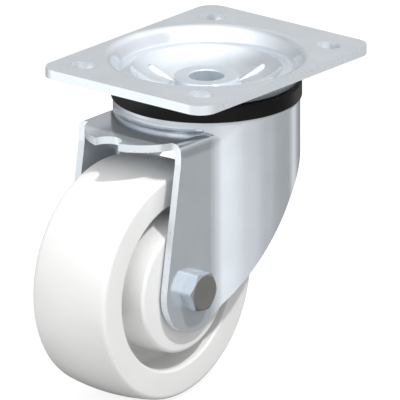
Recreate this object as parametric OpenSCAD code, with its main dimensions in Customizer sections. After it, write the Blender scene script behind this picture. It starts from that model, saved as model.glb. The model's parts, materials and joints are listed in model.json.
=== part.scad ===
// Swivel castor with a pressed steel fork and a one-piece nylon wheel.
// Origin: centre of the top plate's upper face, on the swivel axis. +Z is up.
// X runs along the axle. Y runs along the plate's long side, and the wheel trails toward -Y.

/* [Castor] */
// Trail: swivel axis to axle, measured level
trail = 52.5; // [50:0.5:54]
// Upper face of the plate to the axle
axle_drop = 106.5; // [105:0.5:109]

/* [Top plate] */
// Plate size along X
plate_w = 110; // [108:1:116]
// Plate size along Y
plate_l = 140; // [138:1:150]
// Sheet thickness of the plate
plate_t = 5; // [4.5:0.1:5.2]
// Corner radius of the plate
plate_corner_r = 10; // [6:1:14]
// Spacing of the slot centres along X
slot_pitch_x = 77.5; // [77:0.5:80]
// Spacing of the slot centres along Y
slot_pitch_y = 105; // [104:0.5:108]
// Slot width, for an M10 screw
slot_w = 11; // [10:0.1:11.5]
// Slot length, end to end
slot_l = 13.5; // [12:0.1:14]

/* [Dish] */
// Radius at which the plate's rim breaks down into the dish
dish_rim_r = 50.3; // [50:0.1:50.6]
// Rounding of that rim
dish_rim_round = 5.6; // [3:0.1:6]
// Radius at the foot of the dish's outer wall
dish_foot_r = 45.2; // [44.8:0.1:45.6]
// Depth of the ring pressed over the upper balls
dish_ring_depth = 7.7; // [7.4:0.1:7.9]
// Radius of the ridge between the ring and the bowl
bowl_ridge_r = 39.3; // [39:0.1:39.6]
// Radius at the foot of the bowl's wall
bowl_foot_r = 33; // [32.5:0.1:33.4]
// Depth of the bowl at the foot of its wall
bowl_foot_depth = 12.3; // [12:0.1:12.6]
// Rounding of the bowl at the foot of its wall
bowl_foot_round = 28; // [20:1:30]
// Depth of the seat under the kingpin's head
bowl_depth = 16.7; // [16.4:0.1:17]
// Radius of the flat seat under the kingpin's head
king_seat_r = 18.8; // [18:0.1:19.4]
// Sheet thickness in the drawn bowl
bowl_t = 4.5; // [4.2:0.1:4.8]
// Number of stiffening ribs in the bowl
rib_count = 3; // [3:1:4]
// Radius of a rib's round back
rib_r = 2.6; // [2:0.1:3]
// Depth of a rib's axis below the bowl's floor at its inner end, where it fades out
rib_sink_in = 2.3; // [2:0.1:2.5]
// Depth of a rib's axis below the bowl's wall at its outer end
rib_sink_out = 0.5; // [0.3:0.1:1]
// Angle of the first rib from +X
rib_start = 69; // [0:1:119]

/* [Kingpin] */
// Radius of the kingpin's head
king_head_r = 17; // [16:0.1:17.8]
// Height of the kingpin's head
king_head_h = 5.8; // [5:0.1:6.5]
// Radius of the kingpin's shank
king_shank_r = 13; // [12.5:0.1:13.5]
// Radius of the bore through the kingpin
king_bore_r = 9.2; // [8:0.1:10]
// Radius of the head formed at the lower end
king_foot_r = 17; // [16:0.1:18]
// Height of the head formed at the lower end
king_foot_h = 3.6; // [3:0.1:4]

/* [Swivel bearing] */
// Radius of the upper balls
upper_ball_r = 4; // [3.9:0.01:4]
// Pitch radius of the upper balls
upper_pitch_r = 42; // [41.9:0.1:42.1]
// Number of upper balls
upper_balls_n = 32; // [24:1:32]
// Radius of the lower balls
lower_ball_r = 3.175; // [3.1:0.005:3.175]
// Pitch radius of the lower balls
lower_pitch_r = 25.5; // [25.4:0.1:26]
// Number of lower balls
lower_balls_n = 24; // [16:1:24]
// Running clearance of a ball in its groove
ball_gap = 0.08; // [0.05:0.01:0.1]
// Depth of a groove that balls run in
groove_depth = 1; // [0.8:0.05:1.1]
// Outer radius of the lower race
lower_race_r = 30.5; // [30:0.1:31.5]
// Thickness of the lower race
lower_race_t = 4; // [3.5:0.1:4.5]
// Radius of the lower race's neck
lower_neck_r = 18.8; // [18:0.1:19]

/* [Dust seal] */
// Outer radius of the seal
seal_r = 49.4; // [49.2:0.1:49.8]
// Wall of the seal at its top
seal_wall = 3; // [2.8:0.1:3.05]
// Height of the seal
seal_h = 9; // [8:0.1:9]

/* [Fork] */
// Sheet thickness of the fork
fork_t = 4; // [3.8:0.1:4.2]
// Outer radius of the fork's drum
drum_r = 48.4; // [48.2:0.1:48.6]
// Radius of the drum's shoulder
shoulder_r = 5; // [4.5:0.1:5.2]
// Outer faces of the legs, from the middle
leg_x = 34; // [33.8:0.1:34.5]
// Radius of the bend between crown and leg, outside
bend_r = 4.6; // [4.5:0.1:6]
// Radius of the blend between leg and drum, outside
blend_r = 12; // [10:0.5:14]
// Step from the drum's top down to the crown plate
crown_step = 7.8; // [7:0.1:8.5]
// Radius of the fillet at the foot of that step
step_r = 3; // [2:0.1:3]
// Front edge of the legs, from the swivel axis
leg_front = 62.4; // [62:0.1:64]
// Depth at which the front edge starts to slant
leg_knee_depth = 37; // [35:1:40]
// Rounding of the front edge at that knee
leg_knee_round = 3; // [1:1:12]
// Radius of the round end about the axle
boss_r = 23; // [22:0.1:24]
// Distance of the round end's centre behind the axle
boss_shift = 1.3; // [0:0.1:2]
// Distance behind the swivel axis at which the skirt's lower edge turns
skirt_turn_y = 11.5; // [8:0.5:14]
// Depth of the skirt's lower edge at that turn
skirt_turn_depth = 68.4; // [66:0.1:70]
// Rounding of the skirt's lower edge at that turn
skirt_turn_round = 60; // [50:1:70]
// Depth of the skirt's lower edge at the very back
skirt_back_depth = 35; // [34:0.1:40]
// Hole in the crown for the lower race's neck
crown_hole_r = 20.5; // [20.2:0.1:20.8]
// Radius of the sunk floor inside the drum's top
crown_floor_r = 34.5; // [34:0.1:34.8]
// Radius at the top of the wall round that floor
crown_wall_r = 38.5; // [38:0.1:38.6]
// Depth of that floor below the drum's top
crown_floor_depth = 6; // [5.8:0.1:6.2]
// How much farther out that wall lies on its underside
crown_wall_out = 1.6; // [1.5:0.1:1.8]

/* [Nose] */
// Radius of the nose in front of the crown
nose_r = 30; // [28:0.1:30]
// Reach of the nose from the swivel axis
nose_reach = 81.4; // [78:0.1:82]
// Half width of the notch in the nose
notch_half = 7.5; // [5:0.1:9]
// Depth of the notch in the nose
notch_depth = 8.5; // [8:0.1:10]

/* [Wheel] */
// Radius of the wheel
wheel_r = 62.5; // [61:0.1:63]
// Width of the rim
rim_w = 48; // [46:0.5:50]
// Radius of the tread's crowning
crown_r = 118; // [100:1:200]
// Rounding between tread and face
tread_edge_r = 2.6; // [2:0.1:3]
// Radius of the recess in the wheel's face
recess_r = 45; // [43:0.1:47]
// Outer radius of the hub
hub_r = 34.5; // [32:0.1:35]
// Length of the hub
hub_l = 57.6; // [56:0.1:58]
// Thickness of the web between hub and rim
web_t = 12; // [10:0.5:16]

/* [Wheel bearings] */
// Outer radius of a bearing
bearing_r = 17.5; // [17.5:0.1:17.5]
// Bore radius of a bearing
bearing_bore_r = 7.5; // [7.5:0.1:7.5]
// Width of a bearing
bearing_w = 11; // [11:0.1:11]
// Radius of a bearing's balls
bearing_ball_r = 2.975; // [2.9:0.005:3]
// Balls in a bearing
bearing_balls_n = 8; // [7:1:9]
// Depth of a bearing below the hub's face
bearing_inset = 0.8; // [0.5:0.1:1]
// Radius of the inner ring's shoulder
inner_shoulder_r = 10; // [9.8:0.1:10.2]
// Radius of the outer ring's shoulder
outer_shoulder_r = 14.9; // [14.8:0.1:15.1]
// Depth of a bearing's seals below its faces, at their middle
seal_inset = 0.6; // [0.5:0.1:0.8]

/* [Axle] */
// Radius of the axle bolt's shank
bolt_r = 6; // [6:0.1:6]
// Length of the axle bolt under its head
bolt_l = 85; // [84:1:90]
// Width across flats of the bolt head and the nut
hex_w = 19; // [18:0.1:19]
// Height of the bolt head
bolt_head_h = 7.5; // [7:0.1:8]
// Height of the lock nut
nut_h = 12; // [11:0.1:12]
// Outer radius of the spacers between the bearings
spacer_r = 9.5; // [9:0.1:9.8]
// Radial clearance of parts that slide together
fit_gap = 0.05; // [0.03:0.01:0.1]

/* [Hidden] */
$fn = 96;

// Swivel bearing, from the plate down
ring_under = plate_t + 7;
upper_ball_z = -(ring_under - groove_depth + upper_ball_r + ball_gap);
drum_top = -(2 * -upper_ball_z - ring_under);
crown_floor = drum_top - crown_floor_depth;
crown_under = crown_floor - fork_t;
lower_ball_z = crown_under + groove_depth - lower_ball_r - ball_gap;
race_top = 2 * lower_ball_z - crown_under;
race_under = race_top - lower_race_t;
bowl_under = -(bowl_depth + bowl_t);

// Fork
crown_z = drum_top - crown_step;
leg_in = leg_x - fork_t;
blend_x = leg_x + blend_r;
blend_y = -sqrt(pow(drum_r + blend_r, 2) - pow(blend_x, 2));
boss_y = boss_shift - trail;
deep = 2 * axle_drop;
step_bite = 0.15;
blend_softer = 0.4;

// Wheel
hub_half = hub_l / 2;
bearing_out = hub_half - bearing_inset;
bearing_in = bearing_out - bearing_w;
bearing_mid = bearing_out - bearing_w / 2;
bearing_pitch_r = (bearing_r + bearing_bore_r) / 2;
bearing_groove_r = bearing_ball_r + ball_gap;
cage_wall = 1.6;
seal_t = 0.8;

zinc = [0.76, 0.80, 0.84];
steel = [0.62, 0.64, 0.66];
nylon = [0.95, 0.95, 0.94];
rubber = [0.10, 0.10, 0.10];
brass = [0.80, 0.66, 0.36];

// Corner of an outline, rounded to radius r between its neighbours a and c
function corner(a, b, c, r, n) = r == 0 ? [b] : let (
    u = (a - b) / norm(a - b),
    v = (c - b) / norm(c - b),
    half = acos(u * v) / 2,
    middle = b + (u + v) / norm(u + v) * r / sin(half),
    p = b + u * r / tan(half) - middle,
    q = b + v * r / tan(half) - middle,
    turn = 180 - 2 * half
) [for (k = [0:n]) middle + (p * sin((1 - k / n) * turn) + q * sin(k / n * turn)) / sin(turn)];

// Outline whose points are [x, y] or, where the corner is round, [x, y, radius]
function rounded(pts, n = 6) = let (m = len(pts)) [
    for (i = [0:m - 1])
        let (a = pts[(i + m - 1) % m], b = pts[i], c = pts[(i + 1) % m])
        each corner([a.x, a.y], [b.x, b.y], [c.x, c.y], len(b) > 2 ? b[2] : 0, n)
];

// Arc of n steps about [cx, cy] from angle a0 to a1
function arc(cx, cy, r, a0, a1, n) = [
    for (k = [0:n]) let (a = a0 + (a1 - a0) * k / n) [cx + r * cos(a), cy + r * sin(a)]
];

// Angle at which a line from p touches the circle of radius r about c, on side s
function touch(p, c, r, s) = let (d = p - c) atan2(d.y, d.x) + s * acos(r / norm(d));

// Turned shape on the axle line: its outline has [radius, place along X]
module on_axle(x = 0) {
    translate([x, -trail, -axle_drop])
        rotate([0, 90, 0])
            children();
}

module ring(r_in, r_out, h) {
    difference() {
        cylinder(h = h, r = r_out);
        translate([0, 0, -1])
            cylinder(h = h + 2, r = r_in);
    }
}

module ball_groove(pitch_r, r) {
    rotate_extrude()
        translate([pitch_r, 0])
            circle(r);
}

module ball_row(n, pitch_r, r) {
    for (k = [0:n - 1])
        rotate([0, 0, 360 * k / n])
            translate([pitch_r, 0, 0])
                sphere(r);
}

// Top plate

// Section of the dish, from the kingpin's hole out to the flat rim
module dish_section() {
    wall = [dish_rim_r - dish_foot_r, dish_ring_depth];
    out = [wall.y, -wall.x] / norm(wall) * (bowl_t - 0.1);
    under_rim = dish_rim_r + out.x - wall.x * (plate_t + out.y) / wall.y;
    under_foot = dish_rim_r + out.x - wall.x * (ring_under + out.y) / wall.y;
    polygon(rounded([
        [king_shank_r + fit_gap, -bowl_depth],
        [king_seat_r, -bowl_depth, 1],
        [bowl_foot_r, -bowl_foot_depth, bowl_foot_round],
        [bowl_ridge_r, -dish_ring_depth + 0.9, 0.8],
        [dish_foot_r, -dish_ring_depth, 2.5],
        [dish_rim_r, 0, dish_rim_round],
        [plate_w / 2 - 0.5, 0],
        [plate_w / 2 - 0.5, -plate_t],
        [under_rim, -plate_t, 2],
        [under_foot, -ring_under, 1],
        [bowl_ridge_r - 0.7, -ring_under, 1],
        [bowl_foot_r + 1.2, -bowl_foot_depth - bowl_t + 0.2, bowl_foot_round / 2],
        [king_seat_r + 0.2, bowl_under, 1],
        [king_shank_r + fit_gap, bowl_under]
    ]));
}

// Pressed rib that grows out of the bowl's floor toward its wall
module rib(r) {
    rise = bowl_depth + rib_sink_in - bowl_foot_depth - rib_sink_out;
    run = bowl_foot_r - king_seat_r;
    translate([king_seat_r, 0, -bowl_depth - rib_sink_in])
        rotate([0, 90 - atan(rise / run), 0])
            union() {
                cylinder(h = norm([rise, run]), r = r);
                translate([0, 0, norm([rise, run])])
                    sphere(r);
            }
}

module slot_cut() {
    straight = slot_l - slot_w;
    translate([0, 0, -plate_t - 1])
        linear_extrude(plate_t + 2)
            union() {
                square([straight, slot_w], center = true);
                for (s = [-1, 1])
                    translate([s * straight / 2, 0])
                        circle(d = slot_w);
            }
}

module top_plate() color(zinc) {
    difference() {
        union() {
            difference() {
                translate([0, 0, -plate_t])
                    linear_extrude(plate_t)
                        difference() {
                            polygon(rounded([
                                for (c = [[-1, -1], [1, -1], [1, 1], [-1, 1]])
                                    [c.x * plate_w / 2, c.y * plate_l / 2, plate_corner_r]
                            ], 12));
                            circle(plate_w / 2 - 1);
                        }
                for (sx = [-1, 1], sy = [-1, 1])
                    translate([sx * slot_pitch_x / 2, sy * slot_pitch_y / 2, 0])
                        slot_cut();
            }
            rotate_extrude()
                dish_section();
            for (k = [0:rib_count - 1])
                rotate([0, 0, rib_start + 360 * k / rib_count])
                    rib(rib_r);
        }
        translate([0, 0, upper_ball_z])
            ball_groove(upper_pitch_r, upper_ball_r + ball_gap);
    }
}

// Kingpin: a hollow rivet with a turned head, closed over under the lower race
module kingpin() color(steel) {
    head_z = king_head_h - bowl_depth;
    rotate_extrude()
        polygon(rounded([
            [king_bore_r, race_under - king_foot_h, 0.8],
            [king_bore_r, head_z, 0.8],
            [king_head_r, head_z, 0.6],
            [king_head_r, -bowl_depth, 1.2],
            [king_shank_r, -bowl_depth],
            [king_shank_r, race_under],
            [king_foot_r, race_under],
            [king_foot_r, race_under - king_foot_h, 2]
        ]));
}

// Dust seal: a rubber ring round the upper balls, its lip close over the fork's shoulder
module dust_seal() color(rubber) {
    top = -ring_under;
    rotate_extrude()
        polygon([
            [seal_r - seal_wall, top],
            [seal_r - seal_wall + 0.5, top],
            [seal_r, top - 1.2],
            [seal_r, top - seal_h],
            [seal_r - 1.1, top - seal_h],
            [seal_r - seal_wall, top - seal_h + 2.7]
        ]);
}

// Lower race: clamped by the kingpin, its neck stands against the plate
module lower_race() color(zinc) {
    difference() {
        rotate_extrude()
            polygon(rounded([
                [king_shank_r + fit_gap, bowl_under],
                [lower_neck_r, bowl_under, 0.5],
                [lower_neck_r, race_top, 1],
                [lower_race_r, race_top, 0.8],
                [lower_race_r, race_under, 1.5],
                [king_shank_r + fit_gap, race_under]
            ]));
        translate([0, 0, lower_ball_z])
            ball_groove(lower_pitch_r, lower_ball_r + ball_gap);
    }
}

module upper_balls() color(steel) {
    translate([0, 0, upper_ball_z])
        ball_row(upper_balls_n, upper_pitch_r, upper_ball_r);
}

module lower_balls() color(steel) {
    translate([0, 0, lower_ball_z])
        ball_row(lower_balls_n, lower_pitch_r, lower_ball_r);
}

// Fork

// Channel of the crown and legs, in section across the legs
module channel(half, top, r) {
    rotate([90, 0, 0])
        linear_extrude(2 * trail)
            polygon(rounded([
                [-half, -deep],
                [half, -deep],
                [half, top, r],
                [-half, top, r]
            ], 8));
}

// Gusset that fills the corner between a flat leg and the round drum. Its top edge is bent
// round like the channel's, a little softer, so that it grows out of the channel.
module blend(half, r, top, bend) {
    edge = bend + blend_softer;
    for (s = [0, 1])
        mirror([s, 0, 0])
            difference() {
                translate([0, 0, -deep])
                    linear_extrude(top + deep)
                        difference() {
                            polygon([
                                [half - edge, blend_y],
                                [blend_x, blend_y],
                                [blend_x, blend_y] * (drum_r - 1.5 * fork_t) / (drum_r + blend_r),
                                [half - edge, blend_y * 0.7]
                            ]);
                            translate([blend_x, blend_y])
                                circle(r);
                        }
                translate([blend_x, blend_y, top - edge])
                    rotate_extrude()
                        difference() {
                            translate([r - 1, 0])
                                square([edge + 1, edge + 1]);
                            translate([r + edge, 0])
                                circle(edge);
                        }
            }
}

// Fillet where the drum rises from the crown plate, fading out over the bends. It is sunk
// a little into both, so that it crosses them at an angle.
module drum_fillet() {
    intersection() {
        rotate_extrude()
            translate([drum_r - step_bite, crown_z - step_bite])
                difference() {
                    translate([-1, -1])
                        square([step_r + 1, step_r + 1]);
                    translate([step_r, step_r])
                        circle(step_r);
                }
        translate([-leg_x, -2 * drum_r, crown_z - 1])
            cube([2 * leg_x, 2 * drum_r + blend_y + 4, step_r + 1]);
        channel(leg_x - bend_r / 2, crown_z + step_r, bend_r + step_r);
    }
}

module fork_outside() {
    rotate_extrude()
        polygon(rounded([
            [0, crown_floor],
            [crown_floor_r, crown_floor, 2],
            [crown_wall_r, drum_top, 2],
            [drum_r, drum_top, shoulder_r],
            [drum_r, -deep],
            [0, -deep]
        ]));
    channel(leg_x, crown_z, bend_r);
    blend(leg_x, blend_r, crown_z, bend_r);
    drum_fillet();
}

module fork_inside() {
    rotate_extrude()
        polygon(rounded([
            [0, crown_under],
            [crown_floor_r + crown_wall_out, crown_under, 3],
            [crown_wall_r + crown_wall_out, drum_top - fork_t, 1.5],
            [drum_r - fork_t, drum_top - fork_t, 1],
            [drum_r - fork_t, -deep - 1],
            [0, -deep - 1]
        ]));
    channel(leg_in, crown_z - fork_t, bend_r - fork_t);
    blend(leg_in, blend_r + fork_t, crown_z - fork_t, bend_r - fork_t);
}

// Side outline of the fork in Y and Z, drawn through its full width
module fork_side() {
    knee = [-leg_front, -leg_knee_depth];
    turn = [skirt_turn_y, -skirt_turn_depth];
    boss = [boss_y, -axle_drop];
    front = touch(knee, boss, boss_r, 1);
    back = touch(turn, boss, boss_r, -1);
    translate([-2 * drum_r, 0, 0])
        rotate([90, 0, 90])
            linear_extrude(4 * drum_r)
                polygon(concat(
                    rounded([
                        boss + boss_r * [cos(front), sin(front)],
                        [knee.x, knee.y, leg_knee_round],
                        [knee.x, 0],
                        [drum_r + 4, 0],
                        [drum_r + 4, -skirt_back_depth + 3.5],
                        [turn.x, turn.y, skirt_turn_round],
                        boss + boss_r * [cos(back), sin(back)]
                    ], 8),
                    arc(boss.x, boss.y, boss_r, back, front - 360, 32)
                ));
}

// Nose: the crown plate's round front, with a notch in its middle
module nose() {
    translate([0, 0, crown_z - fork_t])
        linear_extrude(fork_t)
            intersection() {
                difference() {
                    translate([0, nose_r - nose_reach])
                        circle(nose_r);
                    translate([0, -nose_reach - 1])
                        notch();
                }
                translate([-2 * nose_r, -leg_front - 2 * nose_r])
                    square([4 * nose_r, 2 * nose_r + 1]);
            }
}

module notch() {
    straight = notch_depth + 1 - notch_half;
    translate([-notch_half, 0])
        square([2 * notch_half, straight]);
    translate([0, straight])
        circle(notch_half);
}

module fork() color(zinc) {
    difference() {
        union() {
            intersection() {
                difference() {
                    fork_outside();
                    fork_inside();
                }
                fork_side();
            }
            nose();
        }
        translate([0, 0, -deep])
            cylinder(h = deep, r = crown_hole_r);
        translate([0, 0, upper_ball_z])
            ball_groove(upper_pitch_r, upper_ball_r + ball_gap);
        translate([0, 0, lower_ball_z])
            ball_groove(lower_pitch_r, lower_ball_r + ball_gap);
        on_axle(-2 * leg_x)
            cylinder(h = 4 * leg_x, r = bolt_r + 0.25);
    }
}

// Axle

module axle_bolt() color(zinc) {
    on_axle(leg_x - bolt_l) {
        intersection() {
            cylinder(h = bolt_l + bolt_head_h, r = 2 * bolt_r);
            union() {
                translate([0, 0, 1])
                    cylinder(h = bolt_l, r = bolt_r);
                cylinder(h = 1, r1 = bolt_r - 1, r2 = bolt_r);
                translate([0, 0, bolt_l])
                    hex_head(bolt_head_h);
            }
        }
    }
}

// Hexagon with its outer face chamfered round
module hex_head(h) {
    across = hex_w / cos(30);
    intersection() {
        rotate([0, 0, 30])
            cylinder(h = h, d = across, $fn = 6);
        cylinder(h = h, r1 = across / 2 + 2 * h, r2 = hex_w / 2 * 0.95);
    }
}

module axle_nut() color(zinc) {
    on_axle(-leg_x - nut_h)
        difference() {
            union() {
                translate([0, 0, nut_h * 0.3])
                    rotate([0, 0, 30])
                        cylinder(h = nut_h * 0.7, d = hex_w / cos(30), $fn = 6);
                cylinder(h = nut_h * 0.3, r1 = hex_w / 2 - 2.2, r2 = hex_w / 2 - 0.2);
            }
            translate([0, 0, -1])
                cylinder(h = nut_h + 2, r = bolt_r + fit_gap);
        }
}

module axle_tube() color(zinc) {
    on_axle(-leg_in)
        ring(bolt_r + 0.1, bearing_bore_r - fit_gap, 2 * leg_in);
}

module bearing_spacer() color(zinc) {
    on_axle(-bearing_in)
        ring(bearing_bore_r, spacer_r, 2 * bearing_in);
}

module end_spacer() color(zinc) {
    on_axle(bearing_out)
        ring(bearing_bore_r, spacer_r, leg_in - bearing_out);
}

// Wheel

module wheel() color(nylon) {
    rim_half = rim_w / 2;
    edge = crown_r - sqrt(pow(crown_r, 2) - pow(rim_half, 2));
    half = rounded([
        [outer_shoulder_r, 0],
        [outer_shoulder_r, bearing_in],
        [bearing_r, bearing_in],
        [bearing_r, hub_half, 0.5],
        [hub_r, hub_half, 2.2],
        [hub_r + 1.5, web_t / 2, 4],
        [recess_r - 2, web_t / 2, 4],
        [recess_r, rim_half, 1.6],
        [wheel_r - edge, rim_half, tread_edge_r],
        [wheel_r - edge / 4, rim_half / 2],
        [wheel_r, 0]
    ]);
    tread = [for (k = [0:11]) let (x = rim_half * (1 - k / 12) * 0.88)
        [wheel_r - crown_r + sqrt(pow(crown_r, 2) - x * x), x]];
    side = concat([for (k = [0:len(half) - 3]) half[k]], tread);
    on_axle()
        rotate_extrude($fn = 160)
            polygon(concat(side, [[wheel_r, 0]], [
                for (k = [len(side) - 1:-1:1]) [side[k].x, -side[k].y]
            ]));
}

// Wheel bearing on the right side, between the hub and the axle tube

module outer_ring() color(steel) {
    on_axle(bearing_in)
        difference() {
            ring(outer_shoulder_r, bearing_r, bearing_w);
            translate([0, 0, bearing_w / 2])
                ball_groove(bearing_pitch_r, bearing_groove_r);
        }
}

module inner_ring() color(steel) {
    on_axle(bearing_in)
        difference() {
            ring(bearing_bore_r, inner_shoulder_r, bearing_w);
            translate([0, 0, bearing_w / 2])
                ball_groove(bearing_pitch_r, bearing_groove_r);
        }
}

module bearing_balls() color(steel) {
    on_axle(bearing_mid)
        ball_row(bearing_balls_n, bearing_pitch_r, bearing_ball_r);
}

module bearing_cage() color(brass) {
    h = 2 * bearing_ball_r + 1.4;
    on_axle(bearing_mid)
        difference() {
            translate([0, 0, -h / 2])
                ring(bearing_pitch_r - cage_wall / 2, bearing_pitch_r + cage_wall / 2, h);
            for (k = [0:bearing_balls_n - 1])
                rotate([0, 0, 360 * k / bearing_balls_n])
                    rotate([0, 90, 0])
                        cylinder(h = bearing_r, r = bearing_groove_r);
        }
}

module bearing_seal(x) color(rubber) {
    on_axle(x - seal_t / 2)
        ring(inner_shoulder_r + 0.1, outer_shoulder_r, seal_t);
}

module right_side() {
    children();
}

module left_side() {
    mirror([1, 0, 0])
        children();
}

top_plate();
kingpin();
dust_seal();
lower_race();
upper_balls();
lower_balls();
fork();
axle_bolt();
axle_nut();
axle_tube();
bearing_spacer();
left_side() end_spacer();  // left_end_spacer
right_side() end_spacer();  // right_end_spacer
wheel();
left_side() outer_ring();  // left_outer_ring
left_side() inner_ring();  // left_inner_ring
left_side() bearing_balls();  // left_bearing_balls
left_side() bearing_cage();  // left_bearing_cage
left_side() bearing_seal(bearing_out - seal_inset);  // left_outboard_seal
left_side() bearing_seal(bearing_in + seal_inset);  // left_inboard_seal
right_side() outer_ring();  // right_outer_ring
right_side() inner_ring();  // right_inner_ring
right_side() bearing_balls();  // right_bearing_balls
right_side() bearing_cage();  // right_bearing_cage
right_side() bearing_seal(bearing_out - seal_inset);  // right_outboard_seal
right_side() bearing_seal(bearing_in + seal_inset);  // right_inboard_seal
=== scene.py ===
"""Looks of a swivel castor: zinc-plated sheet steel, a white nylon wheel, a black dust seal.

Lengths in the script are in millimetres and become metres where a mesh is made.
The frame's axes: +Z up the swivel axis, X along the axle, the wheel trails toward -Y.
"""

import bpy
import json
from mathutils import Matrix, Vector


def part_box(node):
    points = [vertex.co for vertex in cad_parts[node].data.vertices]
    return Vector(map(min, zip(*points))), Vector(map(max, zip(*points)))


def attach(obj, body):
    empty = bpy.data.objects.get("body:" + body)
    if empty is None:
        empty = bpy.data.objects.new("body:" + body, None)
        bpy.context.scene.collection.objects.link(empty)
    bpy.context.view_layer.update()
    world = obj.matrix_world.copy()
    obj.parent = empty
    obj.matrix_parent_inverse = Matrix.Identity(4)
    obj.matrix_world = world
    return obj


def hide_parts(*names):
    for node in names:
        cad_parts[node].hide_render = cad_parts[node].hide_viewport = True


bl_info = {
    "name": "Swivel Castor",
    "version": (1, 0, 0),
    "blender": (4, 5, 0),
    "location": "3D View > Sidebar > Castor",
    "description": "Dresses the packed swivel castor and sets its studio",
    "category": "Add Mesh",
}

import json
import math

import bmesh
import bpy
from bpy.props import FloatProperty, FloatVectorProperty, IntProperty, PointerProperty
from mathutils import Matrix, Vector

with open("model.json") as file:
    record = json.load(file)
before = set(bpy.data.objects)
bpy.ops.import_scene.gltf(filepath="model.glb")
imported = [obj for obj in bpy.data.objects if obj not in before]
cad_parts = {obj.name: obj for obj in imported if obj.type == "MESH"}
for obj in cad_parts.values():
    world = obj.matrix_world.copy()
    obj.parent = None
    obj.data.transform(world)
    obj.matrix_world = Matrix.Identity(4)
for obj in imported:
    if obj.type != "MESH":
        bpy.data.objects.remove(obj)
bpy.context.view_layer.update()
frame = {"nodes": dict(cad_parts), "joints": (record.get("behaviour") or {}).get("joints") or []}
MM = 0.001


# Sizes read from the frame

def node_box(node):
    low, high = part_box(node)
    return low / MM, high / MM


def joint_place(name):
    joint = next(j for j in frame["joints"] if j["name"] == name)
    return Vector(joint["pos_m"]) / MM


AXLE = joint_place("wheel_spin")
WHEEL_RADIUS = (node_box("wheel")[1].z - node_box("wheel")[0].z) / 2
HUB_HALF = node_box("wheel")[1].x
LEG_OUT = -node_box("axle_nut")[1].x
GROUND = node_box("wheel")[0].z

# Where the sheets' cut faces lie, in millimetres
PLATE_ONLY_ABOVE = -8
DISH_BORE_WITHIN = 30
LEGS_FRONT = -62
NOSE_ABOVE = -36
NOSE_HALF = 30.5
SKIRT_BELOW = -34
LEGS_ONLY_BELOW = -42

# Shares of a noise's range between which colour and roughness vary
NOISE_LOW = 0.3
NOISE_HIGH = 0.7


class CastorEdges(bpy.types.PropertyGroup):
    """Small roundings that pressing, turning and moulding leave."""

    sheet: FloatProperty(
        name="Sheet edge", description="Rounding of the pressed sheet's cut edges",
        default=0.55, min=0.1, max=1.0)
    turned: FloatProperty(
        name="Turned edge", description="Rounding of turned and forged edges",
        default=0.35, min=0.1, max=0.8)
    rubber: FloatProperty(
        name="Rubber edge", description="Rounding of the moulded seal's edges",
        default=0.4, min=0.1, max=0.8)
    sharp_angle: FloatProperty(
        name="Sharp angle", description="An edge that turns by more than this is rounded",
        default=math.radians(33), subtype="ANGLE")


class CastorWheelSizes(bpy.types.PropertyGroup):
    """Sizes of the moulded wheel, in millimetres."""

    rim_width: FloatProperty(name="Rim width", description="Width of the rim", default=48.0)
    crowning: FloatProperty(
        name="Crowning", description="Radius of the tread's crowning", default=118.0)
    recess: FloatProperty(
        name="Recess", description="Radius of the recess in the wheel's face", default=45.0)
    hub: FloatProperty(name="Hub", description="Outer radius of the hub", default=34.5)
    web: FloatProperty(name="Web", description="Thickness of the web", default=12.0)
    seat: FloatProperty(
        name="Bearing seat", description="Radius of the bearing's seat", default=17.5)
    seat_depth: FloatProperty(
        name="Seat depth", description="Depth of the bearing's seat in the hub", default=11.8)
    steps: IntProperty(name="Steps", description="Steps round the wheel", default=256)


class CastorHardware(bpy.types.PropertyGroup):
    """Sizes of the axle bolt, its nut and the balls, in millimetres."""

    bolt_radius: FloatProperty(name="Bolt radius", description="Nominal radius", default=6.0)
    bolt_length: FloatProperty(
        name="Bolt length", description="Length under the head", default=85.0)
    head_height: FloatProperty(name="Head height", description="Height of the head", default=7.5)
    across_flats: FloatProperty(
        name="Across flats", description="Width of the head and the nut", default=19.0)
    thread_pitch: FloatProperty(name="Pitch", description="Pitch of the thread", default=1.75)
    thread_length: FloatProperty(
        name="Thread length", description="Length of the thread on the bolt", default=30.0)
    head_turn: FloatProperty(
        name="Head turn", description="How far the hexagons are turned about the axle",
        default=math.radians(-6), subtype="ANGLE")
    upper_balls: IntProperty(name="Upper balls", description="Balls over the crown", default=32)
    lower_balls: IntProperty(name="Lower balls", description="Balls under the crown", default=24)


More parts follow.
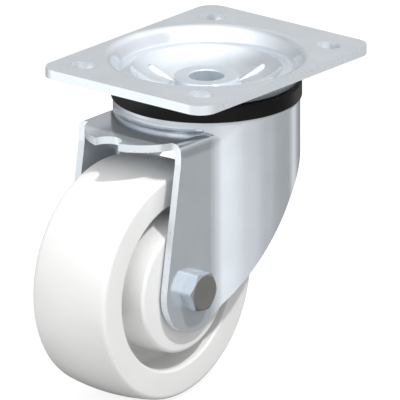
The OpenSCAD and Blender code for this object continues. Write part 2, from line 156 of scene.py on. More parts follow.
class CastorFinishes(bpy.types.PropertyGroup):
    """Colours and roughness of the finishes."""

    zinc: FloatVectorProperty(
        name="Zinc", description="Colour of the zinc plating", subtype="COLOR",
        default=(0.72, 0.77, 0.82))
    zinc_metallic: FloatProperty(
        name="Zinc metallic", description="Share of the plating that shines like metal",
        default=0.68)
    zinc_roughness: FloatProperty(
        name="Zinc roughness", description="Roughness of the plating", default=0.12)
    cut_edge: FloatVectorProperty(
        name="Cut edge", description="Colour of the sheet's cut edges", subtype="COLOR",
        default=(0.74, 0.79, 0.83))
    turned: FloatVectorProperty(
        name="Turned zinc", description="Colour of plated turned parts", subtype="COLOR",
        default=(0.70, 0.765, 0.82))
    head_face: FloatVectorProperty(
        name="Head face", description="Colour of the bolt head's end", subtype="COLOR",
        default=(0.42, 0.42, 0.41))
    steel: FloatVectorProperty(
        name="Ball steel", description="Colour of balls and rings", subtype="COLOR",
        default=(0.66, 0.66, 0.66))
    brass: FloatVectorProperty(
        name="Brass", description="Colour of the bearing cages", subtype="COLOR",
        default=(0.62, 0.44, 0.16))
    nylon: FloatVectorProperty(
        name="Nylon", description="Colour of the wheel", subtype="COLOR",
        default=(0.79, 0.79, 0.783))
    nylon_roughness: FloatProperty(
        name="Nylon roughness", description="Roughness of the wheel", default=0.24)
    rubber: FloatVectorProperty(
        name="Rubber", description="Colour of the seals", subtype="COLOR",
        default=(0.004, 0.004, 0.0042))


class CastorStudio(bpy.types.PropertyGroup):
    """Camera and light."""

    azimuth: FloatProperty(
        name="Azimuth", description="Camera's angle round the castor",
        default=math.radians(39.25), subtype="ANGLE")
    elevation: FloatProperty(
        name="Elevation", description="Camera's angle above level",
        default=math.radians(18.6), subtype="ANGLE")
    roll: FloatProperty(
        name="Roll", description="Camera's roll", default=math.radians(-0.15), subtype="ANGLE")
    distance: FloatProperty(
        name="Distance", description="Camera to the plate's centre",
        default=6.0, unit="LENGTH")
    scale: FloatProperty(
        name="Scale", description="Pixels for each millimetre at the plate's centre",
        default=1.94)
    plate_x: FloatProperty(
        name="Plate X", description="Where the plate's centre lies across the image",
        default=206.4)
    plate_y: FloatProperty(
        name="Plate Y", description="Where the plate's centre lies down the image",
        default=54.9)
    frame_pixels: IntProperty(
        name="Frame", description="Width and height of the image", default=400)
    key: FloatProperty(name="Key", description="Power of the key lamp", default=15.0)


# Mesh helpers

def corner(before, at, after, radius, steps):
    """Points of a corner rounded to a radius."""
    if radius == 0:
        return [at]
    u = (before - at).normalized()
    v = (after - at).normalized()
    half = u.angle(v) / 2
    middle = at + (u + v).normalized() * radius / math.sin(half)
    p = at + u * radius / math.tan(half) - middle
    q = at + v * radius / math.tan(half) - middle
    turn = math.pi - 2 * half
    points = []
    for k in range(steps + 1):
        share = k / steps
        blend = p * math.sin((1 - share) * turn) + q * math.sin(share * turn)
        points.append(middle + blend / math.sin(turn))
    return points


def rounded(points, steps=8):
    """Closed outline whose points are (x, y) or, where the corner is round, (x, y, radius)."""
    out = []
    count = len(points)
    for i, point in enumerate(points):
        before, at, after = (Vector(points[(i + k) % count][:2]) for k in (-1, 0, 1))
        radius = point[2] if len(point) > 2 else 0
        out += corner(before, at, after, radius, steps)
    return out


def new_object(name, mesh):
    obj = bpy.data.objects.new(name, mesh)
    bpy.context.scene.collection.objects.link(obj)
    return obj


def smooth_by_angle(mesh, angle):
    """Smooth shading, but for edges that turn by more than the angle."""
    mesh.shade_smooth()
    mesh.set_sharp_from_angle(angle=angle)


def turned_mesh(name, outline, steps, place):
    """Closed outline of (radius, along) points turned about Z, then placed, in metres."""
    mesh = bpy.data.meshes.new(name)
    bm = bmesh.new()
    rings = []
    for k in range(steps):
        angle = 2 * math.pi * k / steps
        rings.append([
            bm.verts.new(Vector((p[0] * math.cos(angle), p[0] * math.sin(angle), p[1])) * MM)
            for p in outline
        ])
    count = len(outline)
    for k in range(steps):
        here, there = rings[k], rings[(k + 1) % steps]
        for i in range(count):
            j = (i + 1) % count
            bm.faces.new((here[i], there[i], there[j], here[j]))
    bmesh.ops.remove_doubles(bm, verts=bm.verts, dist=1e-7)
    bmesh.ops.recalc_face_normals(bm, faces=bm.faces)
    bm.to_mesh(mesh)
    bm.free()
    mesh.transform(place)
    return mesh


def on_axle(along=0.0, turn=0.0):
    """Turns Z onto X and moves a mesh to the axle's line."""
    place = Matrix.Translation(Vector((along, AXLE.y, AXLE.z)) * MM)
    return place @ Matrix.Rotation(math.pi / 2, 4, "Y") @ Matrix.Rotation(turn, 4, "Z")


def baked(obj):
    """Replaces the object's mesh by its evaluated one, and drops its modifiers."""
    depsgraph = bpy.context.evaluated_depsgraph_get()
    mesh = bpy.data.meshes.new_from_object(obj.evaluated_get(depsgraph))
    mesh.name = obj.name
    old = obj.data
    obj.modifiers.clear()
    obj.data = mesh
    if old.users == 0:
        bpy.data.meshes.remove(old)
    return obj


def is_cut_face(face):
    """True for a face that was sheared through the sheet, not rolled.

    Those are the plate's outline, the nose with its notch, the legs' front edges and
    the skirt's lower edge.
    """
    normal = face.normal
    place = face.calc_center_median() / MM
    upright = abs(normal.z) < 0.1
    flat = abs(normal.z) > 0.97
    along_legs = abs(normal.x) < 0.02
    if place.z > PLATE_ONLY_ABOVE:
        return upright and max(abs(place.x), abs(place.y)) > DISH_BORE_WITHIN
    if flat:
        return False
    if place.y < LEGS_FRONT:
        nose = place.z > NOSE_ABOVE and abs(place.x) < NOSE_HALF
        return along_legs or upright and nose
    low_edge = normal.z < -0.2 and place.z < SKIRT_BELOW
    return along_legs and (place.z < LEGS_ONLY_BELOW or low_edge)


def softened_copy(node, name, width, cut_slot=None):
    """Copy of a CAD node's mesh with its sharp edges rounded to a width."""
    sharp = bpy.context.scene.castor_edges.sharp_angle
    mesh = frame["nodes"][node].data.copy()
    mesh.name = name
    mesh.materials.clear()
    bm = bmesh.new()
    bm.from_mesh(mesh)
    bmesh.ops.remove_doubles(bm, verts=bm.verts, dist=2e-6)
    bmesh.ops.dissolve_limit(
        bm, angle_limit=math.radians(0.4), verts=bm.verts, edges=bm.edges,
        delimit={"NORMAL"})
    if cut_slot is not None:
        for face in bm.faces:
            if is_cut_face(face):
                face.material_index = cut_slot
    bm.to_mesh(mesh)
    bm.free()
    obj = new_object(name, mesh)
    mesh.shade_smooth()
    bevel = obj.modifiers.new("Rounded edges", "BEVEL")
    bevel.width = width * MM
    bevel.segments = 3
    bevel.limit_method = "ANGLE"
    bevel.angle_limit = sharp
    bevel.miter_outer = "MITER_ARC"
    bevel.use_clamp_overlap = True
    bevel.harden_normals = False
    level = obj.modifiers.new("Even normals", "WEIGHTED_NORMAL")
    level.keep_sharp = True
    return baked(obj)


def add_piece(obj, body, slot, *nodes):
    """Puts a piece on its body and hides the CAD nodes it replaces. Its slot is not used."""
    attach(obj, body)
    if nodes:
        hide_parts(*nodes)


def paint(node, material):
    """Gives a CAD node that keeps its mesh a better material."""
    obj = frame["nodes"][node]
    for place in obj.material_slots:
        place.link = "OBJECT"
        place.material = material


# Materials

def start_material(name):
    material = bpy.data.materials.new(name)
    material.use_nodes = True
    tree = material.node_tree
    tree.nodes.clear()
    output = tree.nodes.new("ShaderNodeOutputMaterial")
    shader = tree.nodes.new("ShaderNodeBsdfPrincipled")
    tree.links.new(shader.outputs["BSDF"], output.inputs["Surface"])
    coordinates = tree.nodes.new("ShaderNodeTexCoord")
    return material, tree, shader, coordinates.outputs["Object"]


def add_noise(tree, vector, scale, detail):
    noise = tree.nodes.new("ShaderNodeTexNoise")
    noise.inputs["Scale"].default_value = scale
    noise.inputs["Detail"].default_value = detail
    tree.links.new(vector, noise.inputs["Vector"])
    return noise.outputs["Fac"]


def vary_colour(tree, shader, factor, colour, spread):
    """Lets the base colour move by a share either way."""
    ramp = tree.nodes.new("ShaderNodeValToRGB")
    dark, light = (tuple(c * (1 + s) for c in colour) for s in (-spread, spread))
    ramp.color_ramp.elements[0].position = NOISE_LOW
    ramp.color_ramp.elements[0].color = (*dark, 1)
    ramp.color_ramp.elements[1].position = NOISE_HIGH
    ramp.color_ramp.elements[1].color = (*light, 1)
    tree.links.new(factor, ramp.inputs["Fac"])
    tree.links.new(ramp.outputs["Color"], shader.inputs["Base Color"])


def vary_roughness(tree, shader, factor, low, high):
    scale = tree.nodes.new("ShaderNodeMapRange")
    scale.inputs["From Min"].default_value = NOISE_LOW
    scale.inputs["From Max"].default_value = NOISE_HIGH
    scale.inputs["To Min"].default_value = low
    scale.inputs["To Max"].default_value = high
    tree.links.new(factor, scale.inputs["Value"])
    tree.links.new(scale.outputs["Result"], shader.inputs["Roughness"])


def add_bump(tree, shader, height, distance):
    """Bump of a depth in millimetres."""
    bump = tree.nodes.new("ShaderNodeBump")
    bump.inputs["Strength"].default_value = 1.0
    bump.inputs["Distance"].default_value = distance * MM
    tree.links.new(height, bump.inputs["Height"])
    tree.links.new(bump.outputs["Normal"], shader.inputs["Normal"])


def metal(name, colour, roughness, spread=0.04, bump=0.004, metallic=1.0):
    """Metal or plating; a lower metallic share gives it some of a matt coat's evenness."""
    material, tree, shader, place = start_material(name)
    shader.inputs["Metallic"].default_value = metallic
    cloud = add_noise(tree, place, 45.0, detail=4.0)
    fine = add_noise(tree, place, 900.0, detail=2.0)
    vary_colour(tree, shader, cloud, colour, spread)
    vary_roughness(tree, shader, fine, roughness * 0.9, roughness * 1.12)
    add_bump(tree, shader, fine, bump)
    return material


def make_nylon(name, colour, roughness):
    material, tree, shader, place = start_material(name)
    shader.inputs["Subsurface Weight"].default_value = 0.12
    shader.inputs["Subsurface Radius"].default_value = (0.004, 0.004, 0.0035)
    shader.inputs["Subsurface Scale"].default_value = 0.5
    shader.inputs["IOR"].default_value = 1.53
    cloud = add_noise(tree, place, 30.0, detail=3.0)
    fine = add_noise(tree, place, 700.0, detail=2.0)
    vary_colour(tree, shader, cloud, colour, 0.012)
    vary_roughness(tree, shader, fine, roughness * 0.92, roughness * 1.1)
    add_bump(tree, shader, fine, 0.006)
    return material


def make_rubber(name, colour):
    material, tree, shader, place = start_material(name)
    shader.inputs["Specular IOR Level"].default_value = 0.18
    fine = add_noise(tree, place, 800.0, detail=2.0)
    cloud = add_noise(tree, place, 60.0, detail=3.0)
    vary_colour(tree, shader, cloud, colour, 0.15)
    vary_roughness(tree, shader, fine, 0.30, 0.36)
    add_bump(tree, shader, fine, 0.004)
    return material


def finish_named(name):
    """The finish of that name, made when it is first asked for."""
    if name in bpy.data.materials:
        return bpy.data.materials[name]
    look = bpy.context.scene.castor_finishes
    makers = {
        "Zinc plated sheet": lambda: metal(
            name, look.zinc, look.zinc_roughness, bump=0.002, metallic=look.zinc_metallic),
        "Zinc plated cut edge": lambda: metal(
            name, look.cut_edge, 0.3, spread=0.02, bump=0.0, metallic=0.4),
        "Zinc plated turning": lambda: metal(
            name, look.turned, 0.14, spread=0.03, bump=0.002, metallic=0.85),
        "Zinc plated kingpin": lambda: metal(
            name, look.turned, 0.16, spread=0.03, bump=0.0, metallic=0.6),
        "Bolt head face": lambda: metal(name, look.head_face, 0.5, spread=0.06, bump=0.01),
        "Ball steel": lambda: metal(name, look.steel, 0.14, spread=0.01, bump=0.0),
        "Cage brass": lambda: metal(name, look.brass, 0.35),
        "White nylon": lambda: make_nylon(name, look.nylon, look.nylon_roughness),
        "Black rubber": lambda: make_rubber(name, look.rubber),
    }
    return makers[name]()


def use_finish(obj, *names):
    """Puts the finishes in the object's slots, and keeps which face has which."""
    index = [face.material_index for face in obj.data.polygons]
    obj.data.materials.clear()
    for name in names:
        obj.data.materials.append(finish_named(name))
    obj.data.polygons.foreach_set("material_index", index)


# Geometry node trees

def new_tree(name, inputs):
    tree = bpy.data.node_groups.new(name, "GeometryNodeTree")
    tree.interface.new_socket("Geometry", in_out="OUTPUT", socket_type="NodeSocketGeometry")
    for label, kind, value in inputs:
        socket = tree.interface.new_socket(label, in_out="INPUT", socket_type=kind)
        if value is not None:
            socket.default_value = value
    entry = tree.nodes.new("NodeGroupInput")
    ending = tree.nodes.new("NodeGroupOutput")
    return tree, entry, ending


def close_tree(tree, geometry, entry, ending):
    """Realize Instances, smooth shading and Set Material end every tree."""
    realize = tree.nodes.new("GeometryNodeRealizeInstances")
    smooth = tree.nodes.new("GeometryNodeSetShadeSmooth")
    paint_it = tree.nodes.new("GeometryNodeSetMaterial")
    tree.links.new(geometry, realize.inputs["Geometry"])
    tree.links.new(realize.outputs["Geometry"], smooth.inputs["Geometry"])
    tree.links.new(smooth.outputs["Geometry"], paint_it.inputs["Geometry"])
    tree.links.new(entry.outputs["Material"], paint_it.inputs["Material"])
    tree.links.new(paint_it.outputs["Geometry"], ending.inputs["Geometry"])


def ball_row_tree():
    """Balls spaced evenly on a circle about Z."""
    tree, entry, ending = new_tree("Ball row", [
        ("Count", "NodeSocketInt", 8),
        ("Pitch Radius", "NodeSocketFloat", 0.02),
        ("Ball Radius", "NodeSocketFloat", 0.003),
        ("Height", "NodeSocketFloat", 0.0),
        ("Material", "NodeSocketMaterial", None),
    ])
    circle = tree.nodes.new("GeometryNodeMeshCircle")
    ball = tree.nodes.new("GeometryNodeMeshUVSphere")
    ball.inputs["Segments"].default_value = 24
    ball.inputs["Rings"].default_value = 14
    spread = tree.nodes.new("GeometryNodeInstanceOnPoints")
    place = tree.nodes.new("ShaderNodeCombineXYZ")
    lift = tree.nodes.new("GeometryNodeTransform")
    tree.links.new(entry.outputs["Count"], circle.inputs["Vertices"])
    tree.links.new(entry.outputs["Pitch Radius"], circle.inputs["Radius"])
    tree.links.new(entry.outputs["Ball Radius"], ball.inputs["Radius"])
    tree.links.new(circle.outputs["Mesh"], spread.inputs["Points"])
    tree.links.new(ball.outputs["Mesh"], spread.inputs["Instance"])
    tree.links.new(entry.outputs["Height"], place.inputs["Z"])
    tree.links.new(spread.outputs["Instances"], lift.inputs["Geometry"])
    tree.links.new(place.outputs["Vector"], lift.inputs["Translation"])
    close_tree(tree, lift.outputs["Geometry"], entry, ending)
    return tree


def thread_tree():
    """One ridge that winds up a rod of the given core, about Z."""
    tree, entry, ending = new_tree("Screw thread", [
        ("Turns", "NodeSocketFloat", 10.0),
        ("Core Radius", "NodeSocketFloat", 0.005),
        ("Ridge Radius", "NodeSocketFloat", 0.0006),
        ("Length", "NodeSocketFloat", 0.02),
        ("Material", "NodeSocketMaterial", None),
    ])
    winding = tree.nodes.new("GeometryNodeCurveSpiral")
    winding.inputs["Resolution"].default_value = 48
    ridge = tree.nodes.new("GeometryNodeCurvePrimitiveCircle")
    ridge.inputs["Resolution"].default_value = 3
    sweep = tree.nodes.new("GeometryNodeCurveToMesh")
    sweep.inputs["Fill Caps"].default_value = True
    for socket in ("Start Radius", "End Radius"):
        tree.links.new(entry.outputs["Core Radius"], winding.inputs[socket])
    tree.links.new(entry.outputs["Turns"], winding.inputs["Rotations"])
    tree.links.new(entry.outputs["Length"], winding.inputs["Height"])
    tree.links.new(entry.outputs["Ridge Radius"], ridge.inputs["Radius"])
    tree.links.new(winding.outputs["Curve"], sweep.inputs["Curve"])
    tree.links.new(ridge.outputs["Curve"], sweep.inputs["Profile Curve"])
    close_tree(tree, sweep.outputs["Mesh"], entry, ending)
    return tree


def grown(name, tree, values, material):
    """Mesh object that a tree makes from named values."""
    obj = new_object(name, bpy.data.meshes.new(name))
    modifier = obj.modifiers.new(tree.name, "NODES")
    modifier.node_group = tree
    for item in tree.interface.items_tree:
        if item.item_type == "SOCKET" and item.in_out == "INPUT":
            if item.name in values:
                modifier[item.identifier] = values[item.name]
            elif item.name == "Material":
                modifier[item.identifier] = finish_named(material)
    obj.update_tag()
    return baked(obj)


# Operators

class CASTOR_OT_sheet_steel(bpy.types.Operator):
    """Round the cut edges of the top plate and the fork"""

    bl_idname = "castor.sheet_steel"
    bl_label = "Sheet steel"

    def execute(self, context):
        edges = context.scene.castor_edges
        for node, body in (("top_plate", "plate"), ("fork", "fork")):
            piece = softened_copy(node, node + "_sheet", edges.sheet, cut_slot=1)
            use_finish(piece, "Zinc plated sheet", "Zinc plated cut edge")
            add_piece(piece, body, "zinc_plate", node)
        return {"FINISHED"}


class CASTOR_OT_swivel_head(bpy.types.Operator):
    """Finish the kingpin, the lower race and both rows of balls"""

    bl_idname = "castor.swivel_head"
    bl_label = "Swivel head"

    def execute(self, context):
        edges = context.scene.castor_edges
        hardware = context.scene.castor_hardware
        for node, finish in (
                ("kingpin", "Zinc plated kingpin"), ("lower_race", "Zinc plated turning")):
            piece = softened_copy(node, node + "_turned", edges.turned)
            use_finish(piece, finish)
            add_piece(piece, "plate", "zinc_turned", node)
        tree = ball_row_tree()
        for node, count in (
                ("upper_balls", hardware.upper_balls), ("lower_balls", hardware.lower_balls)):
            low, high = node_box(node)
            ball = (high.z - low.z) / 2
            row = grown(node + "_row", tree, {
                "Count": count,
                "Pitch Radius": (high.x - ball) * MM,
                "Ball Radius": ball * MM,
                "Height": (low.z + ball) * MM,
            }, "Ball steel")
            add_piece(row, node[:-1] + "_row", "ball_steel", node)
        return {"FINISHED"}


class CASTOR_OT_dust_seal(bpy.types.Operator):
    """Finish the dust seal round the upper balls"""

    bl_idname = "castor.dust_seal"
    bl_label = "Dust seal"

    def execute(self, context):
        piece = softened_copy("dust_seal", "dust_seal_ring", context.scene.castor_edges.rubber)
        use_finish(piece, "Black rubber")
        add_piece(piece, "plate", "black_rubber", "dust_seal")
        return {"FINISHED"}


class CASTOR_OT_wheel(bpy.types.Operator):
    """Turn the one-piece wheel"""

    bl_idname = "castor.wheel"
    bl_label = "Wheel"

    def execute(self, context):
        size = context.scene.castor_wheel
        half = size.rim_width / 2
        fall = size.crowning - math.sqrt(size.crowning ** 2 - half ** 2)
        ring_lip = 2.6
        low_seat = size.seat - ring_lip
        seat_end = HUB_HALF - size.seat_depth
        side = rounded([
            (low_seat, 0), (low_seat, seat_end), (size.seat, seat_end),
            (size.seat, HUB_HALF, 0.5), (size.hub, HUB_HALF, 2.2),
            (size.hub + 1.5, size.web / 2, 4), (size.recess - 2, size.web / 2, 4),
            (size.recess, half, 1.6), (WHEEL_RADIUS - fall, half, 2.6),
            (WHEEL_RADIUS - fall / 4, half / 2), (WHEEL_RADIUS, 0),
        ], steps=12)[:-2]
        tread_share = 0.88
        tread_steps = 24
        for k in range(tread_steps):
            along = half * tread_share * (1 - k / tread_steps)
            radius = WHEEL_RADIUS - size.crowning + math.sqrt(size.crowning ** 2 - along ** 2)
            side.append(Vector((radius, along)))
        mirrored = [Vector((p.x, -p.y)) for p in reversed(side[1:])]
        outline = side + [Vector((WHEEL_RADIUS, 0))] + mirrored
        mesh = turned_mesh("nylon_wheel", outline, size.steps, on_axle())
        smooth_by_angle(mesh, math.radians(40))
        piece = new_object("nylon_wheel", mesh)
        use_finish(piece, "White nylon")
        add_piece(piece, "wheel", "white_nylon", "wheel")
        return {"FINISHED"}


def hexagon_mesh(name, apothem, height, place, face_slot):
    """Hexagon head with its seat at 0, chamfered round; its end has its own finish."""
    per_side = 16
    blunt_corner = apothem * 1.135
    inner = apothem * 0.95
    flat_end = inner * 0.93
    slope = math.tan(math.radians(28))
    mesh = bpy.data.meshes.new(name)
    bm = bmesh.new()
    rings = [[], [], [], []]
    for k in range(6 * per_side):
        angle = 2 * math.pi * k / (6 * per_side)
        away = (angle + math.pi / 6) % (math.pi / 3) - math.pi / 6
        radius = min(apothem / math.cos(away), blunt_corner)
        top = height - max(0, radius - inner) * slope
        for ring, (r, z) in zip(rings, (
                (radius, 0), (radius, top), (inner, height), (flat_end, height))):
            ring.append(bm.verts.new(
                Vector((r * math.cos(angle), r * math.sin(angle), z)) * MM))
    for low, high in zip(rings[:-1], rings[1:]):
        for k in range(len(low)):
            j = (k + 1) % len(low)
            bm.faces.new((low[k], low[j], high[j], high[k]))
    bm.faces.new(list(reversed(rings[0])))
    bm.faces.new(rings[3])
    bm.normal_update()
    for face in bm.faces:
        if face.normal.z > 0.5:
            face.material_index = face_slot
    bm.to_mesh(mesh)
    bm.free()
    mesh.transform(place)
    return mesh


class CASTOR_OT_axle(bpy.types.Operator):
    """Make the axle bolt with its thread, and finish the nut, tube and spacers"""

    bl_idname = "castor.axle"
    bl_label = "Axle"

    def execute(self, context):
        part = context.scene.castor_hardware
        edges = context.scene.castor_edges
        head = new_object("axle_bolt_head", hexagon_mesh(
            "axle_bolt_head", part.across_flats / 2, part.head_height,
            on_axle(LEG_OUT, part.head_turn), face_slot=1))
        use_finish(head, "Zinc plated turning", "Bolt head face")
        smooth_by_angle(head.data, math.radians(24))
        add_piece(head, "fork", "zinc_turned", "axle_bolt")

        thread_depth = 0.61 * part.thread_pitch
        tip_chamfer = 0.9
        near_axis = 0.001
        core = part.bolt_radius - thread_depth
        tip = LEG_OUT - part.bolt_length
        outline = rounded([
            (near_axis, 0), (core - tip_chamfer, 0), (core, tip_chamfer),
            (core, part.thread_length - 0.8),
            (part.bolt_radius, part.thread_length), (part.bolt_radius, part.bolt_length),
            (near_axis, part.bolt_length),
        ])
        shank = new_object("axle_bolt_shank", turned_mesh(
            "axle_bolt_shank", outline, 64, on_axle(tip)))
        smooth_by_angle(shank.data, math.radians(30))
        use_finish(shank, "Zinc plated turning")
        add_piece(shank, "fork", "zinc_turned")

        thread_start = 1.2
        threaded = part.thread_length - thread_start - 1.0
        ridge = 0.5 * part.thread_pitch
        thread = grown("axle_bolt_thread", thread_tree(), {
            "Turns": threaded / part.thread_pitch,
            "Core Radius": (part.bolt_radius - ridge) * MM,
            "Ridge Radius": ridge * MM,
            "Length": threaded * MM,
        }, "Zinc plated turning")
        thread.data.transform(on_axle(tip + thread_start))
        add_piece(thread, "fork", "zinc_turned")

        nut = softened_copy("axle_nut", "axle_lock_nut", edges.turned)
        use_finish(nut, "Zinc plated turning")
        add_piece(nut, "fork", "zinc_turned", "axle_nut")
        for node in ("axle_tube", "bearing_spacer", "left_end_spacer", "right_end_spacer"):
            paint(node, finish_named("Zinc plated turning"))
        return {"FINISHED"}


class CASTOR_OT_wheel_bearings(bpy.types.Operator):
    """Finish both wheel bearings"""

    bl_idname = "castor.wheel_bearings"
    bl_label = "Wheel bearings"

    def execute(self, context):
        finishes = {
            "outer_ring": "Ball steel", "inner_ring": "Ball steel",
            "bearing_balls": "Ball steel", "bearing_cage": "Cage brass",
            "outboard_seal": "Black rubber", "inboard_seal": "Black rubber",
        }
        for side in ("left", "right"):
            for part, finish in finishes.items():
                paint(f"{side}_{part}", finish_named(finish))
        return {"FINISHED"}


# Stage

# Lobes of light: direction, sharpness and strength. A strength below zero takes light away.
# The two rows of 0.05 come from a program that fitted the lights to the photograph's brightness,
# and the other rows are set by hand
LIT_LEVEL = 0.0
LIT = (
    ((-1, 0, 0), 1.5, 0.27),
    ((0.75, -0.66, 0), 2.5, 0.46),
    ((0, 1, 0), 1.5, 0.05),
    ((-0.1, -1, 0), 3.0, 1.60),
    ((0, 0, 1), 1.5, 0.71),
    ((0, 0, -1), 1.5, 0.05),
)
# The first three rows and the one below zero are given one by one. The same program chose the
# directions and worked out the strengths of the other 29, and the level
MIRRORED_LEVEL = 0.12
MIRRORED = (
    ((0.20, -0.45, 0.87), 5.0, 0.80),
    ((-0.05, 0.20, 0.98), 6.0, 0.45),
    ((-0.64, -0.64, -0.42), 14.0, 1.25),
    ((-0.76, -0.65, -0.04), 50.0, 0.18),
    ((-0.16, -0.97, -0.17), 50.0, 0.25),
    ((-0.65, -0.73, -0.20), 50.0, 0.18),
    ((-0.93, -0.27, -0.24), 50.0, 0.19),
    ((-0.52, -0.77, -0.36), 50.0, 0.17),
    ((0.90, 0.22, -0.37), 50.0, 0.15),
    ((0.98, 0.03, -0.17), 16.0, 0.11),
    ((0.12, -0.97, -0.21), 16.0, 0.35),
    ((0.83, -0.49, -0.28), 16.0, 0.14),
    ((0.88, -0.16, -0.46), 16.0, 0.08),
    ((-0.49, -0.62, -0.61), 16.0, 0.10),
    ((0.10, -0.54, 0.83), 5.0, 0.77),
    ((0.34, 0.55, 0.77), 5.0, 0.51),
    ((-0.66, 0.12, 0.73), 14.0, -0.24),
    ((-0.29, 0.77, 0.57), 5.0, 0.39),
    ((-0.32, -0.81, 0.50), 5.0, 0.30),
    ((0.81, 0.39, 0.43), 5.0, 0.21),
    ((-0.89, 0.27, 0.37), 5.0, 0.16),
    ((0.20, 0.95, 0.23), 5.0, 0.14),
    ((-0.80, -0.58, 0.17), 5.0, 0.34),
    ((0.99, -0.12, 0.10), 5.0, 0.19),
    ((0.75, -0.61, -0.23), 5.0, 0.33),
    ((0.26, -0.78, -0.57), 5.0, 0.40),
    ((-0.63, -0.70, -0.32), 120.0, 0.25),
    ((0.84, -0.45, -0.32), 120.0, 0.17),
    ((0.89, -0.32, -0.32), 120.0, 0.10),
    ((0.93, -0.20, -0.32), 120.0, 0.13),
    ((0.77, 0.56, -0.32), 120.0, 0.12),
    ((0.10, 0.94, -0.32), 120.0, 0.43),
    ((-0.03, 0.95, -0.32), 120.0, 0.22),
)


def view_axes(studio):
    """The camera's right, up and backward directions."""
    a, e = studio.azimuth, studio.elevation
    back = Vector((math.sin(a) * math.cos(e), -math.cos(a) * math.cos(e), math.sin(e)))
    right = Vector((0, 0, 1)).cross(back).normalized()
    up = back.cross(right)
    turned_right = right * math.cos(studio.roll) + up * math.sin(studio.roll)
    turned_up = up * math.cos(studio.roll) - right * math.sin(studio.roll)
    return turned_right, turned_up, back


def add_camera(studio):
    """Long lens that puts the plate's centre where the studio's values say."""
    right, up, back = view_axes(studio)
    centre = studio.frame_pixels / 2
    target = (right * (centre - studio.plate_x) + up * (studio.plate_y - centre))
    target = target / studio.scale * MM
    data = bpy.data.cameras.new("Camera")
    data.sensor_fit = "HORIZONTAL"
    data.angle = 2 * math.atan(centre / studio.scale * MM / studio.distance)
    data.clip_start = 0.1
    data.clip_end = 60
    camera = bpy.data.objects.new("Camera", data)
    bpy.context.scene.collection.objects.link(camera)
    turn = Matrix((right, up, back)).transposed().to_4x4()
    camera.matrix_world = Matrix.Translation(target + back * studio.distance) @ turn
    bpy.context.scene.camera = camera


def add_key_lamp(studio):
    """Small square lamp, high at the right, that draws the crisp shadows."""
    data = bpy.data.lights.new("Key", "AREA")
    data.shape = "RECTANGLE"
    data.size = data.size_y = 0.05
    data.energy = studio.key
    lamp = bpy.data.objects.new("Key", data)
    bpy.context.scene.collection.objects.link(lamp)
    aim = Vector((0, -0.03, -0.08))
    way = Vector((0.58, -0.10, 0.80)).normalized()
    lamp.location = aim + way * 1.5
    lamp.rotation_euler = way.to_track_quat("Z", "Y").to_euler()
    lamp.visible_camera = False


def add_world():
    """White to the camera. Metal sees one studio, matt surfaces are lit by a softer one."""
    world = bpy.data.worlds.new("Studio")
    bpy.context.scene.world = world
    world.use_nodes = True
    tree = world.node_tree
    tree.nodes.clear()
    output = tree.nodes.new("ShaderNodeOutputWorld")
    coordinates = tree.nodes.new("ShaderNodeTexCoord")
    path = tree.nodes.new("ShaderNodeLightPath")

    def math_node(operation, first, *values):
        node = tree.nodes.new("ShaderNodeMath")
        node.operation = operation
        tree.links.new(first, node.inputs[0])
        for socket, value in zip(node.inputs[1:], values):
            socket.default_value = value
        return node.outputs["Value"]

    def background(level, lobes):
        """Even level plus lobes: strength * exp(sharpness * (cosine to direction - 1))."""
        sky = None
        for direction, sharpness, strength in lobes:
            dot = tree.nodes.new("ShaderNodeVectorMath")
            dot.operation = "DOT_PRODUCT"
            dot.inputs[1].default_value = Vector(direction).normalized()
            tree.links.new(coordinates.outputs["Generated"], dot.inputs[0])
            fall = math_node("MULTIPLY_ADD", dot.outputs["Value"], sharpness, -sharpness)
            lobe = math_node("EXPONENT", fall)
            add = tree.nodes.new("ShaderNodeVectorMath")
            add.operation = "MULTIPLY_ADD"
            tree.links.new(lobe, add.inputs[0])
            add.inputs[1].default_value = [strength] * 3
            if sky:
                tree.links.new(sky, add.inputs[2])
            else:
                add.inputs[2].default_value = [level] * 3
            sky = add.outputs["Vector"]
        shader = tree.nodes.new("ShaderNodeBackground")
        tree.links.new(sky, shader.inputs["Color"])
        return shader.outputs["Background"]

    def choose(factor, without, within):
        """One shader for the rays that the factor names, another for the rest."""
        mix = tree.nodes.new("ShaderNodeMixShader")
        tree.links.new(path.outputs[factor], mix.inputs["Fac"])
        tree.links.new(without, mix.inputs[1])
        tree.links.new(within, mix.inputs[2])
        return mix.outputs["Shader"]

    seen = tree.nodes.new("ShaderNodeBackground")
    seen.inputs["Color"].default_value = (1, 1, 1, 1)
    object_light = choose(
        "Is Glossy Ray", background(LIT_LEVEL, LIT), background(MIRRORED_LEVEL, MIRRORED))
    tree.links.new(
        choose("Is Camera Ray", object_light, seen.outputs["Background"]),
        output.inputs["Surface"])


def grey(level):
    """Colour with its alpha."""
    return (level, level, level, 1)


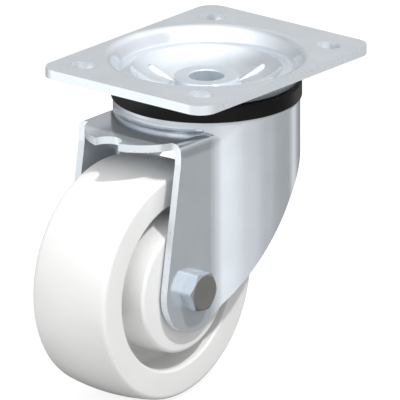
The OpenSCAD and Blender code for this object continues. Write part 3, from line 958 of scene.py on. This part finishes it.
def add_floor():
    """Floor that the camera sees as white with a faint shadow, and other rays as grey."""
    gap = 0.02
    mesh = bpy.data.meshes.new("Floor")
    bm = bmesh.new()
    bmesh.ops.create_circle(bm, cap_ends=True, segments=64, radius=8)
    bm.to_mesh(mesh)
    bm.free()
    mesh.transform(Matrix.Translation((0, 0, (GROUND - gap) * MM)))
    floor = new_object("Floor", mesh)
    material = bpy.data.materials.new("White floor")
    material.use_nodes = True
    tree = material.node_tree
    tree.nodes.clear()
    output = tree.nodes.new("ShaderNodeOutputMaterial")
    path = tree.nodes.new("ShaderNodeLightPath")
    real = tree.nodes.new("ShaderNodeBsdfDiffuse")
    real.inputs["Color"].default_value = grey(0.45)
    faint = tree.nodes.new("ShaderNodeBsdfDiffuse")
    faint.inputs["Color"].default_value = grey(0.22)
    glow = tree.nodes.new("ShaderNodeEmission")
    glow.inputs["Strength"].default_value = 0.86
    seen = tree.nodes.new("ShaderNodeAddShader")
    mix = tree.nodes.new("ShaderNodeMixShader")
    tree.links.new(faint.outputs["BSDF"], seen.inputs[0])
    tree.links.new(glow.outputs["Emission"], seen.inputs[1])
    tree.links.new(path.outputs["Is Camera Ray"], mix.inputs["Fac"])
    tree.links.new(real.outputs["BSDF"], mix.inputs[1])
    tree.links.new(seen.outputs["Shader"], mix.inputs[2])
    tree.links.new(mix.outputs["Shader"], output.inputs["Surface"])
    mesh.materials.append(material)
    floor.visible_glossy = False


class CASTOR_OT_studio(bpy.types.Operator):
    """Set the camera, the key lamp, the world and the floor"""

    bl_idname = "castor.studio"
    bl_label = "Studio"

    def execute(self, context):
        studio = context.scene.castor_studio
        context.scene.view_settings.view_transform = "Standard"
        add_camera(studio)
        add_world()
        add_floor()
        add_key_lamp(studio)
        return {"FINISHED"}


class CASTOR_PT_sidebar(bpy.types.Panel):
    """Lists the castor's sizes, finishes and steps"""

    bl_label = "Castor"
    bl_idname = "CASTOR_PT_sidebar"
    bl_space_type = "VIEW_3D"
    bl_region_type = "UI"
    bl_category = "Castor"

    def draw(self, context):
        for operator in OPERATORS:
            self.layout.operator(operator.bl_idname)
        for group in GROUPS:
            box = self.layout.box()
            values = getattr(context.scene, group)
            for name in values.bl_rna.properties.keys():
                if name not in ("name", "rna_type"):
                    box.prop(values, name)


OPERATORS = (
    CASTOR_OT_sheet_steel, CASTOR_OT_swivel_head, CASTOR_OT_dust_seal, CASTOR_OT_wheel,
    CASTOR_OT_axle, CASTOR_OT_wheel_bearings, CASTOR_OT_studio,
)
GROUPS = {
    "castor_edges": CastorEdges,
    "castor_wheel": CastorWheelSizes,
    "castor_hardware": CastorHardware,
    "castor_finishes": CastorFinishes,
    "castor_studio": CastorStudio,
}


def register():
    for group in GROUPS.values():
        bpy.utils.register_class(group)
    for name, group in GROUPS.items():
        setattr(bpy.types.Scene, name, PointerProperty(type=group))
    for operator in OPERATORS:
        bpy.utils.register_class(operator)
    bpy.utils.register_class(CASTOR_PT_sidebar)


def unregister():
    bpy.utils.unregister_class(CASTOR_PT_sidebar)
    for operator in reversed(OPERATORS):
        bpy.utils.unregister_class(operator)
    for name in GROUPS:
        delattr(bpy.types.Scene, name)
    for group in reversed(GROUPS.values()):
        bpy.utils.unregister_class(group)


def main():
    register()
    bpy.ops.castor.sheet_steel()
    bpy.ops.castor.swivel_head()
    bpy.ops.castor.dust_seal()
    bpy.ops.castor.wheel()
    bpy.ops.castor.axle()
    bpy.ops.castor.wheel_bearings()
    bpy.ops.castor.studio()


if __name__ == "__main__":
    main()
